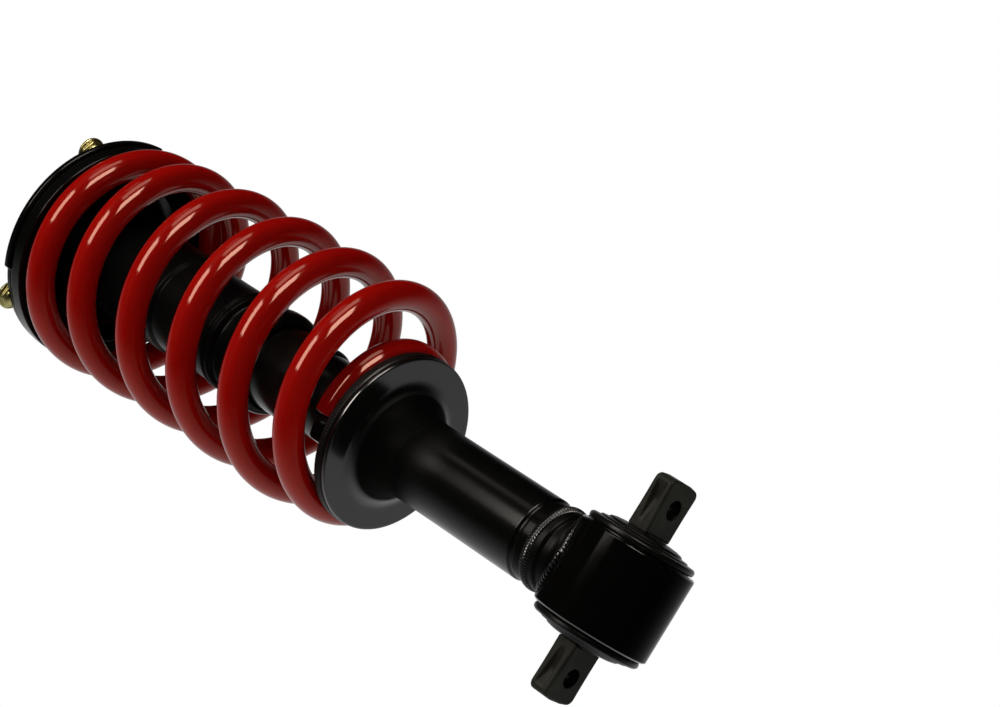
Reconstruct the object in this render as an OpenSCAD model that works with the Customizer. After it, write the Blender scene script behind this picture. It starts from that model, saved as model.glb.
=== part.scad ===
// Front strut assembly: a coil-over damper with a stud-plate top mount and a two-hole bar pin.
// +Z runs up the damper axis. The origin is where that axis crosses the bar pin's axis, and the
// bar pin lies along Y. Everything is drawn at full extension, in millimetres.

/* [Lower mount] */
// Outer diameter of the bushing eye
can_d = 68.2; // [62:0.2:76]
// Wall of the bushing eye
can_wall = 3.2; // [2.4:0.1:4]
// Length of the bushing eye along the bar pin
can_len = 50.8; // [44:0.2:56]
// Distance between the two bolt holes of the bar pin
bolt_spacing = 102.6; // [98:0.2:110]
// Diameter of the bolt holes
bolt_hole_d = 11; // [9:0.1:13]
// Diameter of the bar pin inside the rubber
bar_d = 24; // [20:0.5:26]
// Width of the bar pin's flat where it leaves the rubber
flat_root_w = 25; // [20:0.2:28]
// Width of the bar pin's flat at its end
flat_end_w = 28; // [24:0.2:32]
// Thickness of the bar pin's flat where it leaves the rubber
flat_root_t = 13.6; // [11:0.2:18]
// Thickness of the bar pin's flat at its end
flat_end_t = 12; // [9:0.2:14]
// Metal beyond the centre of each bolt hole
flat_beyond = 15.2; // [12:0.1:18]
// Outer diameter of the rubber's end lips
lip_d = 63.4; // [63:0.2:72]
// Thickness of the rubber's end lips
lip_t = 4; // [3:0.1:6]
// How far the rubber's nose stands out past each lip
nose_h = 3.6; // [3:0.1:6]

/* [Damper] */
// Outer diameter of the damper tube
tube_d = 50; // [46:0.2:54]
// Wall of the damper tube
tube_wall = 2.4; // [1.8:0.1:3]
// Length of the damper tube
tube_len = 251; // [245:1:265]
// Height of the base cap between the eye and its weld
cap_neck_h = 8.8; // [6:0.2:12]
// Diameter of the base cap's neck
cap_neck_d = 45; // [42:0.2:46]
// Height of the weld between base cap and tube
base_weld_h = 3.2; // [2:0.1:4]
// Height of the rolled groove above the tube's lower end
groove_h = 8.4; // [6:0.1:12]
// Bore of the pressure tube
bore_d = 32; // [30:0.5:34]
// Wall of the pressure tube
bore_wall = 1.6; // [1.2:0.1:2]
// Diameter of the piston rod
rod_d = 18; // [16:0.5:20]
// Length of the piston
piston_len = 15; // [12:0.5:20]
// Length of the rod guide
guide_len = 17; // [14:0.5:22]
// Length of the oil seal
seal_len = 6.8; // [5:0.1:9]
// Thickness of the tube cap's strike plate
strike_t = 2.8; // [2:0.1:4]
// Travel from full extension to the bump stop
travel = 95; // [85:1:96]

/* [Spring] */
// Diameter of the spring wire
wire_d = 18.2; // [16:0.1:18.4]
// Diameter of the active coils, wire centre to wire centre
coil_d = 136.3; // [134:0.1:140]
// Diameter of the reduced lower end coil, wire centre to wire centre
end_coil_d = 98; // [96:0.5:103]
// Height gained in one active turn
pitch = 50.6; // [50.2:0.1:55]
// Height gained in one turn at the coil's upper end
top_pitch = 3; // [3:0.5:10]
// Number of turns, ends included
turns = 6.45; // [6.4:0.05:7.1]
// How far the lowest active turn stands off the damper axis
bow_low = 9.2; // [0:0.2:11]
// How far the highest turn stands off the damper axis
bow_high = 1.1; // [0:0.1:4]
// Direction in which the wire's lower end points away from the axis
cut_angle = -6.4; // [-60:0.2:60]

/* [Lower seat] */
// Height of the seat's underside above the bar pin's axis
seat_h = 175.8; // [170:0.2:182]
// Diameter of the lower seat
seat_d = 108.4; // [104:0.2:114]
// Sheet thickness of the lower seat
seat_t = 3.2; // [2.5:0.1:4]
// Radius at which the seat's hub has flared into its flat
flare_r = 41; // [37:0.2:45]
// Height of the flared hub
flare_h = 23; // [18:0.5:28]
// Thickness of the lower insulator under the coil
pad_t = 6.2; // [5:0.1:9]

/* [Upper mount] */
// Diameter of the upper seat
upper_seat_d = 147.8; // [144:0.2:156]
// Height of the upper seat's turned-down rim
upper_rim_h = 7.8; // [5:0.2:9]
// Sheet thickness of the upper seat
upper_seat_t = 2.5; // [2:0.1:3.5]
// Thickness of the upper insulator
upper_pad_t = 8.1; // [7.5:0.1:12]
// How far the stud plate stands out past the upper seat
plate_overhang = 2.1; // [0.2:0.1:4]
// Thickness of the stud plate
plate_t = 4; // [3:0.1:5]
// Diameter of the stud plate's raised centre
hat_d = 72; // [66:0.5:76]
// Height of the stud plate's raised centre
hat_h = 16.5; // [12:0.5:22]
// Distance from the stud plate's rim to a stud's centre
stud_inset = 6.5; // [6.5:0.1:10]
// Angle between the two studs that stand closer together
stud_pair_angle = 98; // [90:1:120]
// How far the studs and the plate's cut-backs are turned about the damper's axis
stud_turn = -2.8; // [-8:0.2:8]
// Thread diameter of the studs
stud_d = 10; // [8:0.5:12]
// Length of a stud above the plate
stud_len = 14; // [12:0.5:30]
// Outer diameter of the top mount's washers
washer_d = 54; // [50:0.5:60]
// Width across the flats of the rod's nut
rod_nut_af = 22; // [21:0.5:24]

/* [Stops and shield] */
// Diameter of the bump stop's widest lobe
bump_d = 47; // [42:0.5:50]
// Outer diameter of the dust shield's plain middle
shield_d = 63.2; // [62:0.2:66]
// Outer diameter of the dust shield's end sections
shield_end_d = 66.4; // [65:0.2:69]
// Wall of the dust shield
shield_wall = 1.6; // [1.2:0.1:2]
// Height of the dust shield's lowest lobe
shield_lobe_h = 20; // [14:0.5:24]

/* [Hidden] */
$fn = 96;

fit = 0.05;         // radial clearance of a turned fit
slip = 0.3;         // clearance between loose round pieces
seated = 0.2;       // gap under a round wire that rests on a flat
steps = 10;         // segments of a drawn arc

// Lower end, from the eye upwards
can_r = can_d / 2;
can_ir = can_r - can_wall;
tube_r = tube_d / 2;
tube_ir = tube_r - tube_wall;
neck_r = cap_neck_d / 2;
weld_z = can_r + cap_neck_h;
tube_z = weld_z + base_weld_h;
tube_top = tube_z + tube_len;
collar_r = tube_r - 1;                  // the tube is drawn in below its groove
plug_h = 9;                             // height of the base cap's plug inside the tube
plug_wall = 2.5;
floor_t = 4;                            // thickness of the base cap's floor above the tube's edge
floor_z = tube_z + floor_t;
bore_r = bore_d / 2;
bore_or = bore_r + bore_wall;
valve_foot = 6;                         // height of the base valve's foot below the pressure tube
valve_foot_r = bore_or + 2;
valve_plug_h = 9;                       // height of the base valve's plug inside the pressure tube
valve_bevel = 2;
valve_rivet_r = 6;
valve_rivet_h = 3;
valve_port_r = 1.8;
valve_port_ring = 10;                   // radius at which the valve's ports stand

// Upper end of the damper, from the tube's top downwards
seal_z = tube_top - seal_len;
guide_z = seal_z - guide_len;
guide_step = 7;                         // how far the rod guide dips into the pressure tube
strike_z = tube_top + strike_t;
cap_skirt = 9;
cap_wall = 1.4;
cap_r = tube_r + fit + cap_wall;

// Piston, hanging from the rod at full extension
rod_r = rod_d / 2;
rebound_h = 13;
rebound_z = guide_z - slip - rebound_h;
piston_z = rebound_z - piston_len;
spigot_r = rod_r - 3;                   // the rod's lower, threaded end
piston_nut_h = 8;
band_w = 8;
band_t = 1;
piston_r = bore_r - slip;

// Spring
wire_r = wire_d / 2;
coil_r = coil_d / 2;
end_r = end_coil_d / 2;
pad_z = seat_h + seat_t;
coil_z = pad_z + pad_t + seated + wire_r;
low_flat = 0.52;                        // turns that lie flat on the lower seat
low_ramp = 0.588;                       // turns over which the pitch opens there
high_ramp = 1.23;                       // turns over which the pitch closes at the top
tuck = 6.2;                             // how far the wire's lower end is drawn in
tuck_turns = 0.25;                      // turns over which it is drawn in
grow_start = 0.6;                       // turn at which the reduced coil starts to widen
grow_turns = 0.42;                      // turns that it takes to reach full width
ring_steps = 24;                        // wire sections in one turn
wire_sides = 10;

// Integral of a smooth step from 0 to 1.
function step_area(x) = x <= 0 ? 0 : x >= 1 ? x - 0.5 : pow(x, 3) - pow(x, 4) / 2;
function smooth(x) = x <= 0 ? 0 : x >= 1 ? 1 : x * x * (3 - 2 * x);
// Height of the wire's centre above its lower end after t turns.
function coil_rise(t) = pitch * low_ramp * step_area((t - low_flat) / low_ramp)
    - (pitch - top_pitch) * high_ramp * step_area((t - turns + high_ramp) / high_ramp);
rise = coil_rise(turns);
function widening(t) = smooth((t - grow_start) / grow_turns);
function coil_radius(t) = end_r - tuck * (1 - smooth(t / tuck_turns)) + (coil_r - end_r) * widening(t);
function coil_shift(t) = widening(t) * (bow_low + (bow_high - bow_low) * pow(coil_rise(t) / rise, 3));
function coil_angle(t) = cut_angle + 360 * t;
function wire_centre(t) = [coil_radius(t) * cos(coil_angle(t)),
                           coil_radius(t) * sin(coil_angle(t)) + coil_shift(t),
                           coil_z + coil_rise(t)];

// Upper end, from the top coil upwards
upper_pad_z = coil_z + rise + wire_r + seated;
upper_seat_z = upper_pad_z + upper_pad_t;
plate_z = upper_seat_z + upper_seat_t;
plate_top = plate_z + plate_t;
upper_seat_r = upper_seat_d / 2;
plate_r = upper_seat_r + plate_overhang;
stud_ring_r = plate_r - stud_inset;
hat_r = hat_d / 2;
hat_ir = hat_r - plate_t;
hat_top = plate_top + hat_h;
land_h = 0.8;                           // raised land round the centre, on which the body's tower rests
land_inset = 9;                         // distance from the land's edge to the studs' centres
land_r = stud_ring_r - land_inset;
hat_hole_r = 16;
washer_t = 3;
washer_r = washer_d / 2;
washer_lip = 2;
mount_drop = 9;                         // how far the lower washer's top hangs below the stud plate
lower_washer_top = plate_z - mount_drop;
lower_washer_z = lower_washer_top - washer_t;
top_spigot_r = rod_r - 2;               // the rod's upper, threaded end
sleeve_r = top_spigot_r + 5;
upper_rubber_h = 7;
upper_rubber_r = washer_r - 2.5;
upper_washer_z = hat_top + upper_rubber_h;
upper_washer_r = washer_r - 4;
nut_z = upper_washer_z + washer_t;
nut_h = 11;
thread_above_nut = 8;
rod_top = nut_z + nut_h + thread_above_nut;
seat_gap = 4;                           // ring left open between raised centre and upper seat
seat_hole_r = hat_r + seat_gap;
locating_r = coil_r - wire_r - bow_high - 1.3;  // rubber lip inside the top coil
locating_h = 8;

// Stops and shield, from the lower washer downwards
shield_flange = 1.6;
shield_top = lower_washer_z;
bump_top = shield_top - shield_flange;
bump_z = strike_z + travel + 0.6;
pad_collar_h = 2.5;                     // collar of the lower insulator above the coil's bed
pad_collar_z = pad_z + pad_t + pad_collar_h;
shield_z = pad_collar_z + travel + 1;
shield_r = shield_d / 2;
shield_end_r = shield_end_d / 2;
shield_mouth_r = cap_r + 1;
shield_plain_h = 94;                    // height of the shield below its wide top section
shield_step_z = shield_z + shield_plain_h;
shield_rib_h = [34, 39.4];              // heights of the two ribs above the shield's mouth
shield_rib = 1.1;
pad_overhang = 0.4;                     // how far the lower insulator stands out past its seat
pad_r = seat_d / 2 + pad_overhang;
pad_collar_r = tube_r + 5;

// Bar pin
can_half = can_len / 2;
bar_r = bar_d / 2;
hole_y = bolt_spacing / 2;
flat_end_y = hole_y + flat_beyond;
lip_y = can_half + 0.8;                 // the lips stand just clear of the eye's rims
lip_top = lip_y + lip_t;
nose_y = lip_top + nose_h;
flat_y = nose_y + 1;                    // where the flats begin

// Points of a circular arc from angle a to angle b.
function arc(x, y, r, a, b) = [for (i = [0:steps]) let (t = a + (b - a) * i / steps)
    [x + r * cos(t), y + r * sin(t)]];

// Plain ring between two heights.
module ring(outer, inner, z0, z1) {
    difference() {
        translate([0, 0, z0])
            cylinder(h = z1 - z0, r = outer);
        translate([0, 0, z0 - 1])
            cylinder(h = z1 - z0 + 2, r = inner);
    }
}

// Solid turned about the Z axis from points [radius, height].
module turned(points) {
    rotate_extrude()
        polygon(points);
}

// Hexagon nut with a bore, standing on height z.
module nut(across, bore_radius, z, h) {
    difference() {
        intersection() {
            translate([0, 0, z])
                cylinder(h = h, r = across / sqrt(3), $fn = 6);
            translate([0, 0, z - across / 2 + h])
                cylinder(h = across / 2, r1 = across * 1.08, r2 = across * 0.53);
        }
        translate([0, 0, z - 1])
            cylinder(h = h + 2, r = bore_radius);
    }
}

// ---------- Lower mount ----------

module bushing_can() {
    bevel = 0.8;
    color("#1a1a1b")
        rotate([90, 0, 0])
            turned([[can_ir, -can_half], [can_r - bevel, -can_half], [can_r, bevel - can_half],
                    [can_r, can_half - bevel], [can_r - bevel, can_half], [can_ir, can_half]]);
}

// Half outline of the moulded rubber, from the eye's middle to its nose.
function rubber_half() = let (edge = lip_t / 2, lip_r = lip_d / 2,
                              neck = min(can_ir - 1.4, lip_r - edge)) concat(
    [[can_ir - fit, 0], [can_ir - fit, can_half - 1], [neck, can_half], [neck, lip_y]],
    arc(lip_r - edge, lip_y + edge, edge, -90, 90),
    [[bar_r + 13, lip_top + nose_h / 10], [bar_r + 9.5, lip_top + nose_h * 0.4]],
    arc(bar_r + 6.5, nose_y - 2, 2, 0, 90),
    [[bar_r + fit, nose_y]]);

module bushing_rubber() {
    half = rubber_half();
    back = [for (i = [len(half) - 1:-1:0]) [half[i][0], -half[i][1]]];
    color("#141414")
        rotate([90, 0, 0])
            turned(concat(half, back));
}

// Outline of one flat seen along Z, widening to its rounded end.
function flat_outline() = let (corner = 4.5, w = flat_end_w / 2, bulge = 1.2) concat(
    [[flat_root_w / 2, flat_y]],
    arc(w - corner, flat_end_y - bulge - corner, corner, 0, 72),
    [[0, flat_end_y]],
    arc(corner - w, flat_end_y - bulge - corner, corner, 108, 180),
    [[-flat_root_w / 2, flat_y]]);

// One forged end of the bar pin: the outline above, thinned towards the end.
module bar_flat() {
    root = flat_root_t / 2;
    tip = flat_end_t / 2;
    pocket_y = flat_y + 5;
    pocket_end = flat_end_y - 4;
    difference() {
        intersection() {
            translate([0, 0, -bar_r])
                linear_extrude(height = bar_d)
                    polygon(flat_outline());
            rotate([90, 0, 90])
                translate([0, 0, -bar_d])
                    linear_extrude(height = 2 * bar_d)
                        polygon([[flat_y, -root], [flat_end_y, -tip], [flat_end_y, tip], [flat_y, root]]);
        }
        for (side = [-1, 1])
            rotate([90, 0, 90])
                translate([0, 0, side * (flat_root_w / 2 + 1.2) - 1.6])
                    linear_extrude(height = 3.2)
                        polygon([[pocket_y, -1.6], [pocket_end, -3], [pocket_end, 2.2], [pocket_y, 1.2]]);
    }
}

module bar_pin() {
    taper = 5;
    color("#34332c")
        difference() {
            union() {
                rotate([90, 0, 0])
                    turned([[0, -flat_y - taper], [bar_r - 4, -flat_y - taper], [bar_r, -flat_y],
                            [bar_r, flat_y], [bar_r - 4, flat_y + taper], [0, flat_y + taper]]);
                bar_flat();
                mirror([0, 1, 0])
                    bar_flat();
            }
            for (y = [-hole_y, hole_y])
                translate([0, y, -bar_d])
                    cylinder(h = 2 * bar_d, d = bolt_hole_d);
        }
}

// The base cap closes the tube and sits on the eye with a saddle.
module base_cap() {
    shoulder = tube_r - 0.9;
    color("#1b1b1c")
        difference() {
            turned([[0, 0], [neck_r, 0], [neck_r, weld_z - 4.5], [shoulder, weld_z - 1.5],
                    [shoulder, weld_z], [tube_ir - fit, weld_z], [tube_ir - fit, tube_z + plug_h - 1.5],
                    [tube_ir - plug_wall / 2, tube_z + plug_h], [tube_ir - plug_wall, tube_z + plug_h],
                    [tube_ir - plug_wall, floor_z], [0, floor_z]]);
            rotate([90, 0, 0])
                cylinder(h = 2 * can_len, r = can_r + fit, center = true);
        }
}

module base_weld() {
    bulge = base_weld_h / 2;
    proud = 0.35;
    color("#232324")
        turned(concat([[tube_ir + fit, tube_z], [tube_ir + fit, weld_z]],
                      arc(tube_r + proud - bulge, weld_z + bulge, bulge, -80, 80)));
}

// Fillet weld that follows the saddle between neck and eye.
module eye_weld() {
    leg = 3.4;
    color("#232324")
        difference() {
            intersection() {
                turned([[neck_r + fit, 0], [neck_r + leg, 0], [neck_r + leg, can_r - 3],
                        [neck_r + 1, can_r + leg], [neck_r + fit, can_r + leg]]);
                rotate([90, 0, 0])
                    cylinder(h = 2 * can_len, r = can_r + leg - 0.4, center = true);
            }
            rotate([90, 0, 0])
                cylinder(h = 2 * can_len, r = can_r + fit, center = true);
        }
}

// ---------- Damper ----------

module damper_tube() {
    groove_z = tube_z + groove_h;
    color("#161617")
        turned([[tube_ir, tube_z], [collar_r, tube_z], [collar_r + 0.4, groove_z - 1.6],
                [collar_r, groove_z - 0.9], [collar_r, groove_z + 0.5], [tube_r, groove_z + 1.8],
                [tube_r, tube_top - 1], [tube_r - 1, tube_top], [tube_ir, tube_top]]);
}

module tube_cap() {
    color("#1d1d1e")
        turned([[tube_r + fit, tube_top - cap_skirt], [cap_r, tube_top - cap_skirt],
                [cap_r, strike_z - 1.4], [cap_r - 1.4, strike_z], [rod_r + 2, strike_z],
                [rod_r + 0.8, strike_z - 1], [rod_r + 0.8, tube_top], [tube_r + fit, tube_top]]);
}

module oil_seal() {
    lip = 1.6;
    color("#2a2a2a")
        turned([[rod_r + fit, seal_z], [tube_ir - fit, seal_z], [tube_ir - fit, tube_top],
                [rod_r + 5, tube_top], [rod_r + 4, seal_z + 3], [rod_r + 3, tube_top],
                [rod_r + lip, tube_top], [rod_r + fit, tube_top - lip]]);
}

module rod_guide() {
    color("#8f9296")
        turned([[rod_r + fit, guide_z], [bore_r - fit, guide_z], [bore_r - fit, guide_z + guide_step],
                [tube_ir - 3, guide_z + guide_step], [tube_ir - fit, guide_z + guide_step + 3],
                [tube_ir - fit, seal_z], [rod_r + 3, seal_z], [rod_r + fit, seal_z - 2]]);
}

module pressure_tube() {
    color("#a4a7aa")
        ring(bore_or, bore_r, floor_z + valve_foot, guide_z + guide_step);
}

module base_valve() {
    top = floor_z + valve_foot;
    plug_top = top + valve_plug_h;
    plug_r = bore_r - fit;
    color("#9a8f63")
        difference() {
            union() {
                turned([[0, floor_z], [valve_foot_r, floor_z], [valve_foot_r, top], [plug_r, top],
                        [plug_r, plug_top - valve_bevel], [plug_r - valve_bevel, plug_top], [0, plug_top]]);
                translate([0, 0, plug_top])
                    cylinder(h = valve_rivet_h, r = valve_rivet_r, $fn = 6);
            }
            for (a = [0:60:300])
                rotate(a)
                    translate([valve_port_ring, 0, floor_z + valve_foot / 2])
                        cylinder(h = valve_foot + valve_plug_h, r = valve_port_r);
        }
}

module piston() {
    groove = (piston_len - band_w) / 2;
    deep_r = bore_r - band_t - 2 * fit;
    color("#77797c")
        difference() {
            turned([[spigot_r + fit, piston_z], [piston_r, piston_z], [piston_r, piston_z + groove],
                    [deep_r, piston_z + groove], [deep_r, rebound_z - groove],
                    [piston_r, rebound_z - groove], [piston_r, rebound_z], [spigot_r + fit, rebound_z]]);
            for (a = [0:45:315])
                rotate(a)
                    translate([(spigot_r + deep_r) / 2 + 1, 0, piston_z - 1])
                        cylinder(h = piston_len + 2, r = 1.5);
        }
}

module piston_band() {
    groove = (piston_len - band_w) / 2;
    color("#3d5a50")
        ring(bore_r - fit, bore_r - band_t - fit, piston_z + groove, rebound_z - groove);
}

module piston_nut() {
    color("#b9bbbe")
        nut(19, spigot_r + fit, piston_z - piston_nut_h, piston_nut_h);
}

module rebound_stop() {
    color("#30302f")
        turned([[rod_r + fit, rebound_z], [rod_r + 4.5, rebound_z], [rod_r + 4.5, rebound_z + 5],
                [rod_r + 3, rebound_z + 6.5], [rod_r + 4.6, rebound_z + 8],
                [rod_r + 4, rebound_z + rebound_h], [rod_r + fit, rebound_z + rebound_h]]);
}

module piston_rod() {
    low = piston_z - piston_nut_h - 2;
    color("#d3d6d9")
        turned([[0, low], [spigot_r - 1, low], [spigot_r, low + 1], [spigot_r, rebound_z],
                [rod_r, rebound_z], [rod_r, shield_top - 0.6], [rod_r - 0.6, shield_top],
                [top_spigot_r, shield_top], [top_spigot_r, rod_top - 1.2],
                [top_spigot_r - 1.2, rod_top], [0, rod_top]]);
}

// ---------- Lower seat and spring ----------

// Curve of the pressed hub: straight along the tube below, level at the flat above.
function flare(r0, r1, z0, z1) = [for (i = [0:steps]) let (a = 90 * i / steps)
    [r0 + (r1 - r0) * (1 - cos(a)), z0 + (z1 - z0) * sin(a)]];

module lower_spring_seat() {
    low = seat_h - flare_h;
    edge = seat_t / 2;
    inner = flare(tube_r + fit, flare_r - seat_t * 0.4, low + 4, seat_h + seat_t);
    color("#1c1c1d")
        turned(concat([[tube_r + fit, low]],
                      flare(tube_r + seat_t * 0.8, flare_r, low, seat_h),
                      arc(seat_d / 2 - edge, seat_h + edge, edge, -90, 90),
                      [for (i = [steps:-1:0]) inner[i]]));
}

// Rubber bed of the end coil, with a collar round the hub and a stop for the wire's end.
module lower_insulator() {
    top = pad_z + pad_t;
    edge = 1.2;
    stop_gap = 4;
    stop_angle = cut_angle - stop_gap;
    color("#111111")
        union() {
            turned(concat([[pad_collar_r, pad_z], [pad_r - edge, pad_z]],
                          arc(pad_r - edge, pad_z + edge, edge, -90, 0),
                          arc(pad_r - edge, top - edge, edge, 0, 90),
                          [[pad_collar_r + 3.5, top], [pad_collar_r + 2.5, pad_collar_z],
                           [pad_collar_r, pad_collar_z]]));
            rotate(stop_angle)
                rotate_extrude(angle = -14)
                    translate([end_r - tuck - 5, top - 1])
                        square([13, wire_d * 0.75]);
        }
}

// Closed tube swept along the wire: each section is square to the wire's own direction.
function cross_unit(a, b) = cross(a, b) / norm(cross(a, b));
function wire_section(t) =
    let (ahead = wire_centre(t + 0.001) - wire_centre(t - 0.001),
         side = cross_unit(ahead, [0, 0, 1]),
         up = cross_unit(side, ahead),
         c = wire_centre(t))
    [for (k = [0:wire_sides - 1]) let (a = 360 * k / wire_sides)
        c + wire_r * (side * cos(a) + up * sin(a))];

module spring() {
    count = round(turns * ring_steps);
    n = wire_sides;
    points = [for (i = [0:count]) each wire_section(turns * i / count)];
    sides = [for (i = [0:count - 1], k = [0:n - 1])
        let (a = i * n + k, b = i * n + (k + 1) % n)
        each [[a, b, b + n], [a, b + n, a + n]]];
    low_end = [for (k = [1:n - 2]) [0, k + 1, k]];
    high_end = [for (k = [1:n - 2]) [count * n, count * n + k, count * n + k + 1]];
    color("#a31210")
        polyhedron(points, concat(sides, low_end, high_end), convexity = 20);
}

// Least gap of the wire to itself, from points at least half a turn apart.
gap_steps = 36;
gap_points = [for (i = [0:round(turns * gap_steps)]) wire_centre(i / gap_steps)];
least_gap = min([for (i = [0:len(gap_points) - 1 - gap_steps / 2])
    min([for (j = [i + gap_steps / 2:min(i + 3 * gap_steps / 2, len(gap_points) - 1)])
        norm(gap_points[i] - gap_points[j])])]) - wire_d;
echo(str("spring: least gap between turns ", least_gap, " mm"));

// ---------- Upper mount ----------

// Rubber ring between the top coil and the upper seat, with a lip that centres the coil.
module upper_insulator() {
    outer = upper_seat_r - upper_seat_t - 0.4;
    edge = 2;
    color("#131313")
        turned(concat([[locating_r - 5, upper_pad_z - locating_h],
                       [locating_r - 1.5, upper_pad_z - locating_h],
                       [locating_r, upper_pad_z - locating_h + 2], [locating_r, upper_pad_z]],
                      arc(outer - edge, upper_pad_z + edge, edge, -90, 0),
                      [[outer, upper_seat_z], [locating_r - 5, upper_seat_z]]));
}

module upper_spring_seat() {
    bend = 2;
    rim_z = plate_z - upper_rim_h;
    inner_r = upper_seat_r - upper_seat_t;
    color("#1f1f20")
        turned(concat([[seat_hole_r, upper_seat_z], [inner_r, upper_seat_z], [inner_r, rim_z],
                       [upper_seat_r, rim_z]],
                      arc(upper_seat_r - bend, plate_z - bend, bend, 0, 90),
                      [[seat_hole_r, plate_z]]));
}

// Angles of the three studs.
stud_angles = [stud_turn + stud_pair_angle / 2, stud_turn + 180, stud_turn - stud_pair_angle / 2];

// Stud plate with its raised centre; a shallow cut-back marks each index side.
module mount_plate() {
    cut_back = 2.6;
    cut_span = 42;
    bend = 3;
    face_z = plate_top + land_h;
    color("#19191a")
        difference() {
            turned(concat([[hat_ir, plate_z], [plate_r - 0.8, plate_z], [plate_r, plate_z + 0.8],
                           [plate_r, plate_top - 0.8], [plate_r - 0.8, plate_top],
                           [land_r + land_h, plate_top], [land_r, face_z], [hat_r + bend, face_z]],
                          arc(hat_r + bend, face_z + bend, bend, -90, -180),
                          arc(hat_r - bend, hat_top - bend, bend, 0, 90),
                          [[hat_hole_r, hat_top], [hat_hole_r, hat_top - plate_t],
                           [hat_ir, hat_top - plate_t]]));
            for (a = [stud_angles[2], stud_angles[2] + 180])
                rotate(a - cut_span / 2)
                    rotate_extrude(angle = cut_span)
                        translate([plate_r - cut_back, plate_z - 1])
                            square([cut_back + 1, plate_t + 2]);
        }
}

module mount_studs() {
    collar_h = 2;
    tip = 1.2;
    stud_r = stud_d / 2;
    color("#b3a25e")
        for (a = stud_angles)
            rotate(a)
                translate([stud_ring_r, 0, 0])
                    turned([[0, plate_top], [stud_r + 1.5, plate_top],
                            [stud_r + 1.5, plate_top + collar_h - 0.6], [stud_r, plate_top + collar_h],
                            [stud_r, plate_top + stud_len - tip],
                            [stud_r - tip, plate_top + stud_len], [0, plate_top + stud_len]]);
}

module mount_bushing_lower() {
    flange_r = seat_hole_r - 0.6;
    color("#151515")
        turned([[sleeve_r + fit, lower_washer_top], [washer_r + 1, lower_washer_top],
                [flange_r, lower_washer_top + mount_drop / 2], [flange_r, plate_z], [hat_ir - fit, plate_z],
                [hat_ir - fit, hat_top - plate_t], [sleeve_r + fit, hat_top - plate_t]]);
}

module mount_bushing_upper() {
    edge = upper_rubber_h * 0.43;
    r = upper_rubber_r;
    color("#151515")
        turned(concat([[sleeve_r + fit, hat_top - plate_t], [hat_hole_r - fit, hat_top - plate_t],
                       [hat_hole_r - fit, hat_top], [r - edge / 3, hat_top]],
                      arc(r - edge, hat_top + edge, edge, -30, 60),
                      [[r - edge * 1.3, upper_washer_z], [sleeve_r + fit, upper_washer_z]]));
}

module mount_sleeve() {
    color("#9b9da0")
        ring(sleeve_r, top_spigot_r + fit, lower_washer_top, upper_washer_z);
}

module lower_washer() {
    color("#a7a58e")
        turned([[top_spigot_r + fit, lower_washer_z], [washer_r - washer_lip, lower_washer_z],
                [washer_r, lower_washer_z + washer_lip], [washer_r, lower_washer_top],
                [top_spigot_r + fit, lower_washer_top]]);
}

module upper_washer() {
    r = upper_washer_r;
    color("#a7a58e")
        turned([[top_spigot_r + fit, upper_washer_z], [r - washer_lip, upper_washer_z],
                [r, upper_washer_z + washer_lip], [r, nut_z], [top_spigot_r + fit, nut_z]]);
}

module rod_nut() {
    color("#b3a25e")
        nut(rod_nut_af, top_spigot_r + fit, nut_z, nut_h);
}

// ---------- Stops and shield ----------

// Urethane bump stop: three lobes that shrink downwards, on the rod.
module bump_stop() {
    r = bump_d / 2;
    h = (bump_top - bump_z) / 3;
    hole = rod_r + slip;
    waist = 4;
    color("#23211d")
        turned(concat([[hole, bump_top], [r, bump_top], [r, bump_top - h + 3]],
                      arc(r - waist, bump_top - h, waist - 1.5, 45, -45),
                      arc(r - waist - 1, bump_top - 1.5 * h, waist + 1.5, 60, -60),
                      arc(r - waist - 2, bump_top - 2 * h, waist - 2, 45, -45),
                      arc(r - waist - 4, bump_top - 2.5 * h, waist + 1, 60, -60),
                      [[r - waist - 4, bump_z], [hole + 1, bump_z], [hole, bump_z + 1]]));
}

// Moulded dust shield: a lobe with an inner lip, a waist, a ribbed middle and a wide top section.
module dust_shield() {
    w = shield_wall;
    mouth = shield_mouth_r;
    e = shield_end_r;
    m = shield_r;
    lobe = shield_z + shield_lobe_h;
    waist_r = mouth + w;
    outside = concat(
        [[mouth, shield_z + 0.6], [mouth + 0.6, shield_z]],
        arc(e - 3, shield_z + 3, 3, -90, 0),
        arc(e - 2.4, lobe - 2.4, 2.4, 0, 90),
        [[waist_r + 0.6, lobe], [waist_r, lobe + 1], [waist_r, lobe + 3.4], [m - 1.4, lobe + 4.6],
         [m, lobe + 6]],
        [for (h = shield_rib_h) let (z = shield_z + h)
            each [[m, z - 1.2], [m + shield_rib, z - 0.4], [m + shield_rib, z + 0.4], [m, z + 1.2]]],
        [[m, shield_step_z - 2], [e, shield_step_z], [e, shield_top - 2], [e - 2, shield_top]]);
    inside = [[rod_r + slip, shield_top], [rod_r + slip, bump_top], [e - w - 1, bump_top],
              [e - w, bump_top - 1], [e - w, shield_step_z + 0.6], [m - w, shield_step_z - 1.4],
              [m - w, lobe + 7], [mouth, lobe + 5], [mouth, lobe - w], [e - w - 1.4, lobe - w - 0.2],
              [e - w, lobe - w - 1.6], [e - w, shield_z + w + 1.6], [e - w - 1.4, shield_z + w + 0.2],
              [mouth, shield_z + w]];
    color("#1b1b1a")
        turned(concat(outside, inside));
}

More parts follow.
